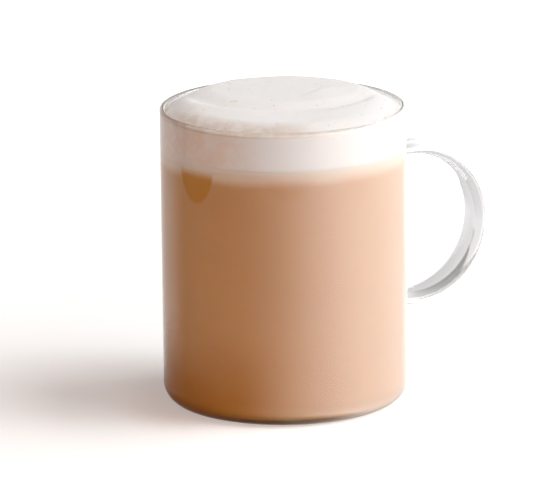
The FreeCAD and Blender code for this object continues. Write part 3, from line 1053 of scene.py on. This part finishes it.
def add_surroundings(scene, settings):
    """Soft light all round; seen directly it is white, and in the glass it is a studio."""
    world = bpy.data.worlds.new("surroundings")
    scene.world = world
    world.use_nodes = True
    world.node_tree.nodes.clear()
    nodes = Nodes(world.node_tree)
    direction = nodes.add("TexCoord").outputs["Generated"]
    path = nodes.add("LightPath").outputs
    bent, glossy = path["Is Transmission Ray"], path["Is Glossy Ray"]
    mirrored = nodes.math("MAXIMUM", glossy, nodes.math("GREATER_THAN", path["Glossy Depth"], 0.5))
    softbox = nodes.step(mirrored, 0.0, 1.0, settings.softbox * BOX_THROUGH, settings.softbox, "LINEAR")
    room = nodes.step(bent, 0.0, 1.0, settings.room, settings.room_through, "LINEAR")
    unscattered = nodes.math("LESS_THAN", path["Diffuse Depth"], 0.5)
    in_glass = nodes.times(nodes.math("MAXIMUM", bent, glossy), unscattered)
    soft_strength = warm_light(nodes, direction, settings)
    soft = light_source(nodes, "Background", settings.fill_colour, soft_strength)
    studio_strength = studio_light(nodes, direction, softbox, room, settings)
    studio = light_source(nodes, "Background", settings.studio_colour, studio_strength)
    white = light_source(nodes, "Background", WHITE, 1.0)
    soft_or_studio = nodes.mix_shaders(in_glass, soft, studio)
    whole = nodes.mix_shaders(path["Is Camera Ray"], soft_or_studio, white)
    nodes.surface(whole, "OutputWorld")


TABLE_SIZE = 8.0
# Distances from the mug's axis over which the table's painted warm shade ends, its glow rises, its
# brightness through the glass rises, and its shaded part ends.
PAINTED_WARM_ENDS = (40 * MM, 62 * MM)
GLOW_RISES = (0.10, 0.45)
THROUGH_RISES = (0.04, 0.30)
SHADE_ENDS = (80 * MM, 160 * MM)


def add_table(settings):
    """A wide pale table."""
    select_nothing()
    bpy.ops.mesh.primitive_plane_add(size=TABLE_SIZE, location=(0, 0, 0))
    table = named("table")
    settle(table)
    table.data.materials.append(table_material(settings))


def table_colour(nodes, place, away, settings):
    """Pale, faintly clouded, with a painted warm shade close beside the coffee."""
    clouds = nodes.step(nodes.noise(place, scale=30.0, detail=3.0), 0.3, 0.7, 0.0, 0.02)
    plain = nodes.mix(clouds, settings.table, settings.table_clouds)
    # Painted warm shade on the table beside the coffee's shaded side.
    beside = nodes.times(nodes.step(away, *PAINTED_WARM_ENDS, 0.9, 0.0), on_side(nodes, place, PAINTED_WARM_SIDE))
    return nodes.mix(beside, plain, settings.painted_warm_shade)


def table_material(settings):
    """A table that glows to the camera, and that the glass mirrors only in its shaded part."""
    nodes, place = new_material("table")
    away = nodes.length(place)
    path = nodes.add("LightPath").outputs
    lit_colour = table_colour(nodes, place, away, settings)
    top = nodes.feed(nodes.add("BsdfDiffuse"), {"Color": lit_colour})
    glow_strength = nodes.step(away, *GLOW_RISES, settings.glow, settings.far_glow)
    glow = light_source(nodes, "Emission", WHITE, glow_strength)
    bright = nodes.add("AddShader")
    nodes.feed(bright, {0: top.outputs[0], 1: glow.outputs[0]})
    through_strength = nodes.step(away, *THROUGH_RISES, settings.near_through, settings.far_through)
    through = light_source(nodes, "Emission", settings.through_colour, through_strength)
    direct = nodes.mix_shaders(path["Is Camera Ray"], top, bright)
    seen = nodes.mix_shaders(path["Is Transmission Ray"], direct, through)
    shaded = nodes.times(nodes.step(away, *SHADE_ENDS, 0.75, 0.0), on_side(nodes, place, SHADED_SIDE))
    bounced = nodes.math("SUBTRACT", path["Is Glossy Ray"], path["Is Transmission Ray"])
    unseen = nodes.times(nodes.math("MAXIMUM", bounced, 0.0), nodes.math("SUBTRACT", 1.0, shaded))
    return nodes.surface(nodes.mix_shaders(unseen, seen, nodes.add("BsdfTransparent")))


# ---------- the add-on


class DRINK_PT_panel(bpy.types.Panel):
    """Lists the pieces and their settings"""

    bl_idname = "DRINK_PT_panel"
    bl_label = "Glass mug of milky coffee"
    bl_space_type = "VIEW_3D"
    bl_region_type = "UI"
    bl_category = "Drink"

    def draw(self, context):
        for operator in OPERATORS:
            self.layout.operator(operator.bl_idname)
        for name, group in SETTINGS.items():
            box = self.layout.box()
            box.label(text=group.__doc__)
            for field in group.__annotations__:
                box.prop(getattr(context.scene, name), field)


SETTINGS = {
    "drink_glass": GlassSettings,
    "drink_coffee": DrinkSettings,
    "drink_foam": FoamSettings,
    "drink_stage": StageSettings,
}
OPERATORS = (DRINK_OT_glass, DRINK_OT_coffee, DRINK_OT_foam, DRINK_OT_bubbles, DRINK_OT_stage)
CLASSES = (*SETTINGS.values(), *OPERATORS, DRINK_PT_panel)


def register():
    for one in CLASSES:
        bpy.utils.register_class(one)
    for name, group in SETTINGS.items():
        setattr(bpy.types.Scene, name, bpy.props.PointerProperty(type=group))


def unregister():
    for name in SETTINGS:
        delattr(bpy.types.Scene, name)
    for one in reversed(CLASSES):
        bpy.utils.unregister_class(one)


def main():
    register()
    select_nothing()
    for group in (level_blend_group, bubble_group, drift_group):
        group()
    bpy.ops.drink.glass()
    bpy.ops.drink.coffee()
    bpy.ops.drink.foam()
    bpy.ops.drink.bubbles()
    bpy.ops.drink.stage()


if __name__ == "__main__":
    main()
